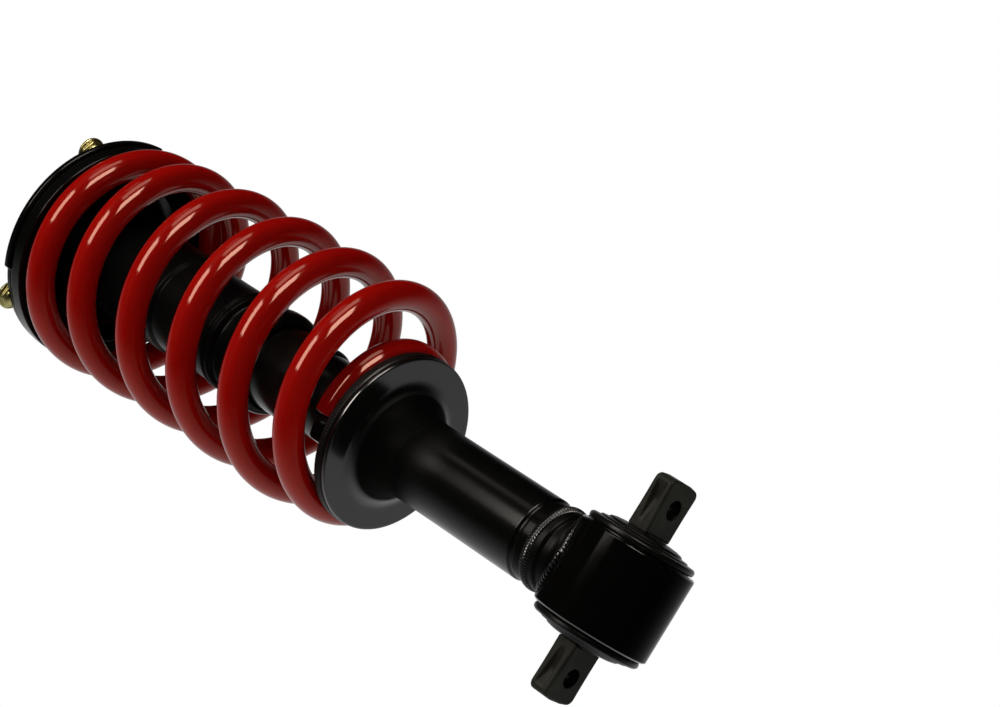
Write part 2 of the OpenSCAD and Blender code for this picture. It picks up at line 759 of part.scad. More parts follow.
mount_plate();
mount_studs();
upper_spring_seat();
upper_insulator();
mount_bushing_lower();
mount_bushing_upper();
mount_sleeve();
lower_washer();
upper_washer();
rod_nut();
piston_rod();
bump_stop();
dust_shield();
rebound_stop();
piston();
piston_band();
piston_nut();
spring();
lower_insulator();
lower_spring_seat();
damper_tube();
tube_cap();
oil_seal();
rod_guide();
pressure_tube();
base_valve();
base_cap();
base_weld();
eye_weld();
bushing_can();
bushing_rubber();
bar_pin();
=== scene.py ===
"""Front strut assembly: coil-over damper, stud-plate top mount and rubber-bushed bar pin.

Sizes in the sections are millimetres in the part's own frame: +Z up the damper's axis, Y along the
bar pin, origin where the two cross. Meshes are written in metres.
"""

import math

import bpy
import numpy as np
from mathutils import Matrix


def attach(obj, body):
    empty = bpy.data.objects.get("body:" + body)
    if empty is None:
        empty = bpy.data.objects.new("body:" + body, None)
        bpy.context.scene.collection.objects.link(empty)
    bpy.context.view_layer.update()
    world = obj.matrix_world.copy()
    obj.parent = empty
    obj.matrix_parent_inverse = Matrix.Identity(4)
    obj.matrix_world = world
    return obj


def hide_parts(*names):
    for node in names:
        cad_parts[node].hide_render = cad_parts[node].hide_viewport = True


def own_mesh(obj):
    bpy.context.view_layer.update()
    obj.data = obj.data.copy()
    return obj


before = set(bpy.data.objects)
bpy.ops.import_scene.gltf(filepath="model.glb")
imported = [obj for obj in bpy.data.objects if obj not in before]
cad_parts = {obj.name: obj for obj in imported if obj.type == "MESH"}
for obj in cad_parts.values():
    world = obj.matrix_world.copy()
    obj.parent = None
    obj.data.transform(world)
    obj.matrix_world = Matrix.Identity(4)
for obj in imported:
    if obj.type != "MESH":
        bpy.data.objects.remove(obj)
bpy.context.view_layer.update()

# ---------------------------------------------------------------- bar pin
# Forged steel bar: round inside the rubber, a flat with one bolt hole at each end. Dark phosphate
# finish over the scale of the forging, with painted shade that blackens the inside of the bolt
# holes. Each flat thins and widens towards its rounded end.

MM = 0.001  # metres in a millimetre


def join_grids(name, grids, body, material, replaces=()):
    """One mesh from closed grids, riding on its body. A grid is points[u, v], closed round in v,
    and comes with True where it is closed round in u as well. If not, each of its ends is closed
    by a fan about the mean of the end's row. A grid whose signed volume is negative is turned
    inside out, so that all faces point outwards."""
    points, quads, fans = [], [], []
    start = 0
    for grid, closed in grids:
        nu, nv = grid.shape[:2]
        flat = grid.reshape(-1, 3)
        u = np.arange(nu if closed else nu - 1)[:, None]
        v = np.arange(nv)[None, :]
        a, b = u * nv + v, u * nv + (v + 1) % nv
        c, d = (u + 1) % nu * nv + (v + 1) % nv, (u + 1) % nu * nv + v
        quad = np.stack([a, b, c, d], -1).reshape(-1, 4)
        fan = np.zeros((0, 3), int)
        if not closed:
            ring = np.arange(nv)
            after = (ring + 1) % nv
            end = (nu - 1) * nv
            first = np.stack([np.full(nv, len(flat)), after, ring], -1)
            last = np.stack([np.full(nv, len(flat) + 1), end + ring, end + after], -1)
            fan = np.concatenate([first, last])
            flat = np.vstack([flat, grid[0].mean(0), grid[-1].mean(0)])
        corners = np.concatenate([quad[:, :3], quad[:, [0, 2, 3]], fan])
        p, q, r = (flat[corners[:, k]] for k in range(3))
        if np.einsum("ij,ij->i", p, np.cross(q, r)).sum() < 0:
            quad, fan = quad[:, ::-1], fan[:, ::-1]
        points.append(flat)
        quads.append(quad + start)
        fans.append(fan + start)
        start += len(flat)
    points, quads, fans = np.vstack(points), np.vstack(quads), np.vstack(fans)
    face_starts = [np.arange(len(quads)) * 4, quads.size + np.arange(len(fans)) * 3]
    mesh = bpy.data.meshes.new(name)
    mesh.vertices.add(len(points))
    mesh.loops.add(quads.size + fans.size)
    mesh.polygons.add(len(quads) + len(fans))
    mesh.vertices.foreach_set("co", (points * MM).ravel())
    mesh.loops.foreach_set("vertex_index", np.concatenate([quads.ravel(), fans.ravel()]))
    mesh.polygons.foreach_set("loop_start", np.concatenate(face_starts))
    mesh.update(calc_edges=True)
    mesh.shade_smooth()
    mesh.materials.append(material)
    piece = bpy.data.objects.new(name, mesh)
    bpy.context.scene.collection.objects.link(piece)
    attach(piece, body)
    if replaces:
        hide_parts(*replaces)
    return piece


def add_node(tree, kind, values=(), **settings):
    """New shader node of one kind, with its settings, and with values for its inputs."""
    made = tree.nodes.new("ShaderNode" + kind)
    for key, value in settings.items():
        setattr(made, key, value)
    for key, value in dict(values).items():
        made.inputs[key].default_value = value
    return made


def connect(tree, *links):
    """Link nodes. Each link says [node, its output, next node, its input]."""
    for giver, given, taker, taken in links:
        tree.links.new(giver.outputs[given], taker.inputs[taken])


def finish_of(name, colour, rough, metal=0.0, mottle=0.25, grain=700.0, bump=0.06, relief=0.00025,
              specular=0.5, tint_at_front=None, fine=0.0):
    """Painted, plated or moulded surface. A noise broader than the given grain by a step of twelve
    shifts the colour by the share mottle and the roughness by its spread, either way. Bump comes
    from a noise of that grain and, with the strength fine, from one that is finer by the same step
    and shallower. Specular is how strongly the surface mirrors, and tint_at_front colours what it
    mirrors straight back."""
    step, shallower, spread, noise_low, noise_high = 12, 8, 0.15, 0.3, 0.7
    made = bpy.data.materials.new(name)
    made.use_nodes = True
    tree = made.node_tree
    shader = tree.nodes["Principled BSDF"]
    place = add_node(tree, "TexCoord")
    broad = add_node(tree, "TexNoise", {"Scale": grain / step, "Detail": 5.0, "Roughness": 0.6})
    small = add_node(tree, "TexNoise", {"Scale": grain, "Detail": 4.0})
    tint = add_node(tree, "ValToRGB")
    low, high = tint.color_ramp.elements
    low.position, high.position = noise_low, noise_high
    low.color = [c * (1 - mottle) for c in colour] + [1]
    high.color = [min(1, c * (1 + mottle)) for c in colour] + [1]
    drift = add_node(tree, "MapRange", {"From Min": noise_low, "From Max": noise_high,
                                        "To Min": max(0.02, rough * (1 - spread)),
                                        "To Max": min(1.0, rough * (1 + spread))})
    dent = add_node(tree, "Bump", {"Strength": bump, "Distance": relief})
    connect(tree, (place, "Object", broad, "Vector"), (place, "Object", small, "Vector"),
            (broad, "Fac", tint, "Fac"), (broad, "Fac", drift, "Value"),
            (small, "Fac", dent, "Height"), (tint, "Color", shader, "Base Color"),
            (drift, "Result", shader, "Roughness"), (dent, "Normal", shader, "Normal"))
    if fine:
        pores = add_node(tree, "TexNoise", {"Scale": grain * step, "Detail": 2.0})
        rasp = add_node(tree, "Bump", {"Strength": fine, "Distance": relief / shallower})
        connect(tree, (place, "Object", pores, "Vector"), (pores, "Fac", rasp, "Height"),
                (rasp, "Normal", dent, "Normal"))
    shader.inputs["Metallic"].default_value = metal
    shader.inputs["Specular IOR Level"].default_value = specular
    if tint_at_front:
        shader.inputs["Specular Tint"].default_value = (*tint_at_front, 1)
    return made


def round_corners(corners, closed=True):
    """Outline whose corners [x, y, radius] are rounded. A corner becomes an arc tangent to both its
    sides, in steps of about 15 degrees, that takes at most half of the shorter side. One more point
    just outside each end of the arc keeps the flats flat."""
    share, arc_step = 0.49, 0.26
    corners = [tuple(c) if len(c) == 3 else (*c, 0.0) for c in corners]
    out = []
    n = len(corners)
    for i, (x, y, r) in enumerate(corners):
        here = np.array([x, y])
        if not r or (not closed and i in (0, n - 1)):
            out.append(here)
            continue
        back = np.array(corners[i - 1][:2]) - here
        on = np.array(corners[(i + 1) % n][:2]) - here
        room = share * min(np.linalg.norm(back), np.linalg.norm(on))
        back, on = back / np.linalg.norm(back), on / np.linalg.norm(on)
        half = math.acos(float(np.clip(back @ on, -1, 1))) / 2
        reach = min(r / math.tan(half), room)
        r = reach * math.tan(half)
        centre = here + (back + on) / np.linalg.norm(back + on) * r / math.sin(half)
        a, b = here + back * reach, here + on * reach
        turn_a, turn_b = (math.atan2(*(p - centre)[::-1]) for p in (a, b))
        sweep = (turn_b - turn_a + math.pi) % (2 * math.pi) - math.pi
        steps = max(3, int(abs(sweep) / arc_step))
        outside = min(0.12 * r + 0.02, 0.2 * room)
        out.append(a + back * outside)
        for k in range(steps + 1):
            angle = turn_a + sweep * k / steps
            out.append(centre + r * np.array([math.cos(angle), math.sin(angle)]))
        out.append(b + on * outside)
    return np.array(out)


def around(count):
    """Angles of the given count, evenly round one turn from zero."""
    return np.arange(count) * 2 * np.pi / count


HOLE_Y, HOLE_R, HOLE_LIP = 51.3, 5.5, 0.7
FLAT_FROM, FLAT_END, FLAT_BEVEL = 34.0, 66.5, 1.5
POCKET_FROM, POCKET_LENGTH, POCKET_DEPTH = 39, 22.5, 2.7
RAYS = 360


def half_height(y):
    """Half the height of a flat, which falls evenly along the pin."""
    return np.interp(y, [FLAT_FROM, FLAT_END], [6.8, 6.0])


def forged_flat(side):
    """One flat as a ring of sections round its bolt hole. Each section runs along a ray from the
    hole's axis: up the hole, over the top face to the outline, round the bevel, down the edge and
    back underneath. The side walls draw in to a pocket: at share s of its length its depth is the
    full depth times the root of sin(pi * s ** 1.4), smoothed over a few rays, and its mouth opens
    from 34 to 76 percent of the wall's height."""
    wall_x, smooth, mouth_slope = 10.5, 7, 0.12
    outline = round_corners([(-12.3, FLAT_FROM, 0), (-13.9, FLAT_END - 1.3, 3.8),
                             (-5, FLAT_END - 0.1, 14), (5, FLAT_END - 0.1, 14),
                             (13.9, FLAT_END - 1.3, 3.8), (12.3, FLAT_FROM, 0)]) - [0, HOLE_Y]
    angle = np.unwrap(np.arctan2(outline[:, 1], outline[:, 0]))
    if angle[-1] < angle[0]:
        outline, angle = outline[::-1], angle[::-1]
    theta = angle[0] + around(RAYS)
    ray = np.stack([np.cos(theta), np.sin(theta)], -1)
    looped = np.concatenate([outline, outline[:1]])
    turn = np.concatenate([angle, [angle[0] + 2 * np.pi]])
    k = np.clip(np.searchsorted(turn, theta, side="right") - 1, 0, len(turn) - 2)
    p, edge = looped[k], looped[k + 1] - looped[k]
    reach = ((p[:, 0] * edge[:, 1] - p[:, 1] * edge[:, 0])
             / (ray[:, 0] * edge[:, 1] - ray[:, 1] * edge[:, 0]))
    y_edge = HOLE_Y + reach * ray[:, 1]
    along = np.clip((y_edge - POCKET_FROM) / POCKET_LENGTH, 0, 1)
    on_side_wall = np.abs(ray[:, 0]) * reach > wall_x
    pocket = POCKET_DEPTH * np.sqrt(np.clip(np.sin(np.pi * along ** 1.4), 0, 1)) * on_side_wall
    pocket = np.convolve(np.tile(pocket, 3), np.ones(smooth) / smooth, "same")[RAYS:2 * RAYS]
    mouth = 0.34 + 0.42 * along
    land = HOLE_R + HOLE_LIP + 0.3
    rows = [np.stack([np.full(RAYS, r), np.full(RAYS, z) * half_height(HOLE_Y + r * ray[:, 1])], -1)
            for r, z in [(HOLE_R, 0.0), (HOLE_R, 0.62), (HOLE_R, 0.9), (HOLE_R + 0.15, 0.97),
                         (HOLE_R + HOLE_LIP, 1.0), (land, 1.0)]]
    for s in (0.25, 0.5, 0.75, 0.9):
        r = land + (reach - FLAT_BEVEL - land) * s
        rows.append(np.stack([r, half_height(HOLE_Y + r * ray[:, 1])], -1))
    h = half_height(y_edge)
    for a in np.radians([0, 18, 36, 54, 72, 90]):
        rows.append(np.stack([reach - FLAT_BEVEL + FLAT_BEVEL * np.sin(a),
                              h - FLAT_BEVEL + FLAT_BEVEL * np.cos(a)], -1))
    for s in (0.93, 0.86, 0.79, 0.72, 0.65, 0.58, 0.51, 0.44, 0.37, 0.3, 0.2, 0.0):
        depth = pocket * np.clip((mouth - s) / mouth_slope, 0, 1)
        rows.append(np.stack([reach - depth, (h - FLAT_BEVEL) * s], -1))
    upper = np.array(rows)
    lower = upper[1:-1][::-1] * [1, -1]
    section = np.concatenate([upper, lower])
    x = section[..., 0] * ray[:, 0]
    y = HOLE_Y + section[..., 0] * ray[:, 1]
    return np.stack([x, side * y, section[..., 1]], -1)


def lathe(profile, axis, sides):
    """Outline [radius, height] turned about an axis of the frame."""
    a = around(sides)
    r, h = (np.asarray(profile)[:, k][:, None] for k in (0, 1))
    x, y, z = r * np.cos(a), r * np.sin(a), h + 0 * a
    return np.stack([x, y, z] if axis == "Z" else [x, z, y], -1)


phosphate = finish_of("phosphated_forging", (0.0180, 0.0190, 0.0152), 0.36, mottle=0.35, grain=420,
                      bump=0.20, relief=0.0004, specular=0.04, fine=0.25)

# Painted shade blackens the inside of the bolt holes: the finish's colour is scaled by a share that
# rises from a tenth to one just outside the hole's radius, measured from the axis of the nearer
# hole.
tree = phosphate.node_tree
either_side = add_node(tree, "VectorMath", operation="ABSOLUTE")
from_hole = add_node(tree, "VectorMath", {1: (0, HOLE_Y * MM, 0)}, operation="SUBTRACT")
level = add_node(tree, "VectorMath", {1: (1, 1, 0)}, operation="MULTIPLY")
distance = add_node(tree, "VectorMath", operation="LENGTH")
unshaded_share = add_node(tree, "MapRange", {"From Min": (HOLE_R + 0.1) * MM,
                                      "From Max": (HOLE_R + HOLE_LIP) * MM,
                                      "To Min": 0.1, "To Max": 1.0})
hole_shade = add_node(tree, "Mix", {6: (0, 0, 0, 1)}, data_type="RGBA")
connect(tree, (tree.nodes["Texture Coordinate"], "Object", either_side, 0),
        (either_side, 0, from_hole, 0), (from_hole, 0, level, 0), (level, 0, distance, 0),
        (distance, "Value", unshaded_share, "Value"), (unshaded_share, "Result", hole_shade, 0),
        (tree.nodes["Color Ramp"], "Color", hole_shade, 7),
        (hole_shade, 2, tree.nodes["Principled BSDF"], "Base Color"))

shaft = round_corners([(0.01, -34.6), (10.5, -34.6, 1), (12, -33.4, 1), (12, 33.4, 1),
                       (10.5, 34.6, 1), (0.01, 34.6)], closed=False)
join_grids("forged_bar_pin", [(forged_flat(1), True), (forged_flat(-1), True),
                              (lathe(shaft, "Y", 96), False)],
           "bar_pin", phosphate, ["bar_pin"])

# ---------------------------------------------------------------- bushing rubber
# Natural rubber bonded between eye and bar pin. Both ends stand out of the eye as a flange with a
# rounded lip, a step and a nose round the pin; the moulding leaves fine steps on its outer face.

rubber = finish_of("moulded_rubber", (0.0032, 0.0034, 0.0032), 0.30, mottle=0.3, grain=500,
                   bump=0.12, relief=0.0002, specular=0.18, fine=0.15)
rubber_half = [(30.85, 0), (30.85, 24.4, 0.3), (29.5, 25.3, 0.3), (29.5, 26.2, 0.3),
               (31.1, 26.2, 0.7), (31.7, 27.2, 0.6), (31.7, 28.9, 0.9), (30.6, 29.9, 0.6),
               (26.6, 30.3, 0.4), (25.9, 31.1, 0.5), (22.4, 31.5, 0.4), (21.4, 32.6, 0.5),
               (18.2, 33.4, 1.0), (14.4, 33.8, 0.7), (13.2, 33.0, 0.4), (12.1, 32.8, 0.2),
               (12.1, 0)]
other_half = [(r, -y, *rounding) for r, y, *rounding in rubber_half[-2:0:-1]]
rubber_outline = round_corners(rubber_half + other_half)
join_grids("bonded_rubber", [(lathe(rubber_outline, "Y", 160), True)], "damper", rubber,
           ["bushing_rubber"])

# ---------------------------------------------------------------- eye
# Steel ring that holds the rubber: tube cut to length, rims chamfered, painted together with the
# damper and rubbed shiny at the rims. It is welded to the base cap's saddle.

CAN_R, CAN_HALF = 34.1, 25.4
eye_black = finish_of("eye_paint", (0.0016, 0.0017, 0.0016), 0.09, mottle=0.12, grain=650,
                      bump=0.02, relief=0.00022, specular=0.06)


def vary(material, axis, socket, first, *steps):
    """Let one socket of the finish follow a coordinate of the part, taken without its sign. It
    starts at the value first. Each step [from, to, value] brings it smoothly to the step's value
    between the two places."""
    tree = material.node_tree
    split = add_node(tree, "SeparateXYZ")
    size = add_node(tree, "Math", operation="ABSOLUTE")
    connect(tree, (tree.nodes["Texture Coordinate"], "Object", split, 0), (split, axis, size, 0))
    before = None
    for start, end, value in steps:
        change = add_node(tree, "MapRange", {"From Min": start * MM, "From Max": end * MM,
                                             "To Min": first, "To Max": value},
                          interpolation_type="SMOOTHSTEP")
        connect(tree, (size, 0, change, "Value"))
        if before:
            connect(tree, (before, "Result", change, "To Min"))
        before = change
    connect(tree, (before, "Result", tree.nodes["Principled BSDF"], socket))


vary(eye_black, "Y", "Specular IOR Level", 0.04, (24.2, 24.9, 0.80))
eye = round_corners([(31.0, -CAN_HALF, 0.35), (33.0, -CAN_HALF, 0.5), (CAN_R, 0.9 - CAN_HALF, 0.6),
                     (CAN_R, CAN_HALF - 0.9, 0.6), (33.0, CAN_HALF, 0.5), (31.0, CAN_HALF, 0.35)])
join_grids("eye_ring", [(lathe(eye, "Y", 192), True)], "damper", eye_black,
           ["bushing_can"])

# ---------------------------------------------------------------- base cap
# Pressed cap that closes the tube and is shaped to straddle the eye. Its outside shows between the
# ring weld and the saddle, under thin dull paint; the inside holds the foot valve.

dull_black = finish_of("thin_black_paint", (0.0022, 0.0023, 0.0022), 0.36, mottle=0.12, grain=650,
                       bump=0.05, relief=0.00022, specular=0.06)


def base_cap_grid():
    """Turned outline whose lowest row follows the eye: the saddle's height at angle a is the height
    of a circle of the eye's radius at the row's own x. The next three rows stay above it, and none
    of them lies below the row before it."""
    outer = round_corners([(21.6, 0), (22.4, 33.5, 1.2), (22.4, 36.6, 1.0), (24.0, 38.2, 1.7),
                           (24.2, 42.85, 0.2), (22.55, 42.9), (22.55, 53.4, 0.8),
                           (20.2, 55.1, 0.8), (20.1, 50.1), (0.02, 50.1)], closed=False)
    rows = lathe(outer, "Z", 160)
    saddle = np.sqrt(np.maximum((CAN_R + 0.05) ** 2 - rows[0, :, 0] ** 2, 0))
    rows[0, :, 2] = saddle
    for k, clearance in ((1, 0.4), (2, 0.8), (3, 1.2)):
        own = np.maximum(rows[k, :, 2], saddle + clearance)
        rows[k, :, 2] = np.maximum(own, rows[k - 1, :, 2])
    return rows


join_grids("base_cap_saddle", [(base_cap_grid(), False)], "damper", dull_black,
           ["base_cap"])

# ---------------------------------------------------------------- welds
# Two robot welds under the same paint. The ring weld joins cap and tube and shows close fish-scale
# ripples; the fillet follows the saddle between cap and eye.

weld_paint = finish_of("painted_weld", (0.0035, 0.0037, 0.0036), 0.13, mottle=0.2, grain=900,
                       bump=0.10, relief=0.0003, specular=0.52)


def bead(path, across, along_up, wide, high, ripples, depth, bow, wander=0.0):
    """Closed weld bead: a flattened round section carried along a closed path. Its size follows a
    rounded saw, depth * (sin(pi * phase ** 0.6) - 0.6), once for each ripple. A ripple lags behind
    towards the bead's two edges by bow ripples, like fish scales. The share wander swells the bead
    slowly, by a five-fold and a thirteen-fold wave round the path."""
    s = np.arange(len(path)) / len(path) * ripples
    a = around(24)
    phase = (s[:, None] + bow * np.sin(a)[None, :] ** 2) % 1
    slow = np.sin(2 * np.pi * s / ripples * 5) + np.sin(2 * np.pi * s / ripples * 13 + 1)
    swell = 1 + depth * (np.sin(np.pi * phase ** 0.6) - 0.6) + wander * slow[:, None]
    section = (across[:, None] * (wide * np.cos(a))[None, :, None]
               + along_up[:, None] * (high * np.sin(a))[None, :, None])
    return path[:, None] + section * swell[..., None]


def unit(vectors):
    """Rows scaled to a length of one."""
    return vectors / np.linalg.norm(vectors, axis=1)[:, None]


turn = around(1500)
outward = np.stack([np.cos(turn), np.sin(turn), 0 * turn], -1)
up = np.broadcast_to([0.0, 0.0, 1.0], outward.shape)
ring_path = outward * 23.1 + up * 44.6
ring_weld = bead(ring_path, outward, up, 2.3, 3.2, 84, 0.24, bow=0.5)
join_grids("ring_weld", [(ring_weld, True)], "damper", weld_paint, ["base_weld"])

# The fillet's path wavers a little round the cap and stays on the eye's cylinder. The bead stands
# off the eye's surface and leans outwards.
saddle_r = 23.9 + 0.25 * np.sin(turn * 3 + 1)
saddle_xy = outward[:, :2] * saddle_r[:, None]
on_eye = np.sqrt(np.maximum((CAN_R + 0.7) ** 2 - saddle_xy[:, 0] ** 2, 0))
saddle_path = np.column_stack([saddle_xy, on_eye])
normal = unit(np.column_stack([saddle_xy[:, 0], 0 * turn, on_eye]))
lean = unit(outward * 0.5 + normal)
heading = np.roll(saddle_path, -1, 0) - np.roll(saddle_path, 1, 0)
flank = unit(np.cross(heading, lean))
saddle_weld = bead(saddle_path, lean, flank, 1.7, 2.9, 62, 0.22, bow=0.7, wander=0.07)
join_grids("saddle_weld", [(saddle_weld, True)], "damper", weld_paint, ["eye_weld"])

# ---------------------------------------------------------------- damper tube
# Drawn steel tube in satin black paint, dull below its groove and where it runs up into the seat.
# The rolled groove holds the base cap; below it the tube is drawn in by a millimetre. A thin sleeve
# pressed over the upper end guides the dust shield's mouth.

satin_black = finish_of("satin_black_paint", (0.0022, 0.0023, 0.0022), 0.17, mottle=0.12,
                        grain=650, bump=0.05, relief=0.00022, specular=0.25)
vary(satin_black, "Z", "Specular IOR Level", 0.06, (53.0, 56.0, 0.25), (116, 149, 0.01),
     (176, 180, 0.25))
vary(satin_black, "Z", "Roughness", 0.17, (116, 149, 0.50), (176, 180, 0.17))
tube = round_corners([(22.6, 46.1), (24.0, 46.1, 0.5), (24.1, 52.4, 0.8), (23.75, 53.6, 0.5),
                      (23.75, 54.9, 0.6), (25.0, 56.4, 0.8), (25.0, 296.3, 0.6),
                      (24.2, 297.1, 0.4), (22.6, 297.1)])
join_grids("outer_tube", [(lathe(tube, "Z", 192), True)], "damper", satin_black,
           ["damper_tube"])

sleeve = round_corners([(25.02, 250), (26.6, 250, 0.6), (27.1, 251, 0.5), (27.1, 296.4, 1.2),
                        (26, 297.6, 0.6), (24.4, 297.6, 0.4), (24.4, 297.15), (25.02, 296)])
join_grids("tube_end_sleeve", [(lathe(sleeve, "Z", 160), True)], "damper", satin_black)

# ---------------------------------------------------------------- lower spring seat
# Pressed dish with a hub that flares out of the tube and a flat ring under the coil; welded on and
# painted with the tube. The flat ring shines, while the paint on the hub is thin and dull.

seat_black = finish_of("seat_paint", (0.0024, 0.0026, 0.0024), 0.17, mottle=0.12, grain=600,
                       bump=0.08, relief=0.00022, specular=0.95)
vary(seat_black, "Z", "Specular IOR Level", 0.01, (172.2, 175.3, 0.88))
vary(seat_black, "Z", "Roughness", 0.50, (172.2, 175.3, 0.17))


def quarter(r0, r1, z0, z1, count):
    """Quarter of an ellipse in count points, from upright at (r0, z0) to level at (r1, z1): the
    radius goes with 1 - cos(a) and the height with sin(a)."""
    a = np.linspace(0, np.pi / 2, count)
    return [(r0 + (r1 - r0) * (1 - np.cos(t)), z0 + (z1 - z0) * np.sin(t)) for t in a]


hub_outside = [(25.01, 151.2)] + quarter(25.06, 41, 151.2, 175.8, 32)
hub_inside = quarter(25.02, 39.7, 156.8, 179, 18)[::-1]
rim = [(53.3, 175.8), (53.9, 176.0), (54.15, 176.5), (54.2, 177.4), (54.15, 178.3), (53.9, 178.8),
       (53.3, 179)]
dish = np.array(hub_outside + [(44, 175.8), (52.6, 175.8)] + rim + [(52.6, 179), (42, 179)]
                + hub_inside)
join_grids("spring_seat_dish", [(lathe(dish, "Z", 192), True)], "damper", seat_black,
           ["lower_spring_seat"])

# ---------------------------------------------------------------- lower insulator
# Rubber bed between dish and coil, slipped over the rim, with fine ribs on its wall. The wire's cut
# end rests against a raised block, so that the coil can't creep round.

PAD_TOP = 185.2
BED_SIDES, RIBS, RIB_SHARE = 1200, 200, 0.0022
bed = round_corners([(30, 179.05), (53.9, 179.05, 0.5), (54.6, 180.0, 0.8), (54.5, 184.2, 1.1),
                     (53.4, PAD_TOP, 0.8), (51.5, PAD_TOP - 0.15, 0.6), (34.6, PAD_TOP, 0.5),
                     (32.6, 187.7, 0.5), (30, 187.7, 0.5)])
bed_grid = lathe(bed, "Z", BED_SIDES)
on_wall = (bed[:, 0] > 53.2) & (bed[:, 1] > 180.2)
wave = np.cos(np.arange(BED_SIDES) / BED_SIDES * 2 * np.pi * RIBS)
bed_grid[..., :2] *= (1 + RIB_SHARE * wave * on_wall[:, None])[..., None]

# The block is a profile carried round an arc of 14 degrees. It shrinks towards its middle and its
# foot over the last three sections of each end.
BLOCK_FOOT, BLOCK_TOP, SECTIONS = 184.2, 197.2, 24
block = round_corners([(37.8, BLOCK_FOOT), (37.8, BLOCK_TOP, 1.5), (50.8, BLOCK_TOP, 1.5),
                       (50.8, BLOCK_FOOT)])
block_angle = np.radians(np.linspace(-24.4, -10.4, SECTIONS))[:, None]
from_end = np.minimum(np.arange(SECTIONS), np.arange(SECTIONS)[::-1])[:, None]
full = np.clip(from_end / 3, 0, 1) ** 0.5
block_r = block[:, 0].mean() + (block[:, 0] - block[:, 0].mean()) * (0.88 + 0.12 * full)
block_z = BLOCK_FOOT + (block[:, 1] - BLOCK_FOOT) * (0.9 + 0.1 * full)
block_grid = np.stack([block_r * np.cos(block_angle), block_r * np.sin(block_angle), block_z], -1)
join_grids("coil_bed", [(bed_grid, True), (block_grid, False)], "damper", rubber,
           ["lower_insulator"])

# ---------------------------------------------------------------- coil spring
# Hot-wound spring steel wire, shot-blasted and powder-coated gloss red. The lower end coil is
# reduced and tucked in, the body bows slightly to +Y, and the pitch closes towards the top.

WIRE_R, TURNS, COIL_Z = 9.1, 6.45, 194.5
PITCH, TOP_PITCH, OPENS_AT, OPENS_OVER, CLOSES_OVER = 50.6, 3.0, 0.52, 0.588, 1.23
COIL_R, END_R, GROWS_AT, GROWS_OVER = 68.15, 49.0, 0.6, 0.42
CUT_ANGLE, TUCK, TUCK_TURNS, CUT_EDGE = -6.4, 6.2, 0.25, 1.1
LOW_BOW, TOP_BOW = 9.2, 1.1


def step_area(x):
    """Integral of a smooth step from 0 to 1: x ** 3 - x ** 4 / 2, and a straight line past 1."""
    return np.where(x <= 0, 0, np.where(x >= 1, x - 0.5, x ** 3 - x ** 4 / 2))


def ease(x):
    """Smooth step from 0 to 1: 3 x squared less 2 x cubed."""
    x = np.clip(x, 0, 1)
    return x * x * (3 - 2 * x)


def coil_rise(t):
    """Height after t turns: the integral of a pitch that opens smoothly from nothing after the end
    coil, and closes smoothly to the top pitch at the last turn."""
    opened = PITCH * OPENS_OVER * step_area((t - OPENS_AT) / OPENS_OVER)
    closing = step_area((t - TURNS + CLOSES_OVER) / CLOSES_OVER)
    return opened - (PITCH - TOP_PITCH) * CLOSES_OVER * closing


def wire_centre(t):
    """Centre line after t turns: the radius eases out of its tuck, then from the end coil to the
    body. The body's shift to +Y goes from the low to the top bow with the height's share cubed."""
    grown = ease((t - GROWS_AT) / GROWS_OVER)
    r = END_R - TUCK * (1 - ease(t / TUCK_TURNS)) + (COIL_R - END_R) * grown
    a = np.radians(CUT_ANGLE + 360 * t)
    bow = grown * (LOW_BOW + (TOP_BOW - LOW_BOW) * (coil_rise(t) / coil_rise(TURNS)) ** 3)
    return np.stack([r * np.cos(a), r * np.sin(a) + bow, COIL_Z + coil_rise(t)], -1)


def swept_wire():
    """Round section carried square to the centre line. Each cut end is rounded over: its radius
    goes from R - e to R as a quarter circle while the section moves e away from the cut face."""
    count, end_count, small_step = 1100, 7, 1e-4
    t = np.linspace(0, TURNS, count)
    centre = wire_centre(t)
    ahead = unit(wire_centre(t + small_step) - wire_centre(t - small_step))
    side = unit(np.cross(ahead, [0, 0, 1.0]))
    top = np.cross(side, ahead)
    phi = np.linspace(0, np.pi / 2, end_count)
    inset = (CUT_EDGE * (1 - np.cos(phi)))[:, None]
    small = WIRE_R - CUT_EDGE * (1 - np.sin(phi))
    path = np.concatenate([centre[0] + ahead[0] * inset, centre[1:-1],
                           (centre[-1] - ahead[-1] * inset)[::-1]])
    radius = np.concatenate([small, np.full(count - 2, WIRE_R), small[::-1]])
    station = np.concatenate([np.zeros(end_count, int), np.arange(1, count - 1),
                              np.full(end_count, count - 1)])
    a = around(36)
    ring = (side[station][:, None] * np.cos(a)[None, :, None]
            + top[station][:, None] * np.sin(a)[None, :, None])
    return path[:, None] + ring * radius[:, None, None]


red_powder = finish_of("red_powder_coat", (0.255, 0.0028, 0.0015), 0.09, mottle=0.06, grain=330,
                       bump=0.05, relief=0.0003, tint_at_front=(1.0, 0.60, 0.47))
coil = join_grids("coil_spring", [(swept_wire(), False)], "damper", red_powder,
                  ["spring"])
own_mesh(coil)

# ---------------------------------------------------------------- hidden damper parts
# Steel, sintered, rubber and urethane parts inside the tube and the shield, with the finishes they
# are made with. Their solids are right as they stand and only get their surfaces.

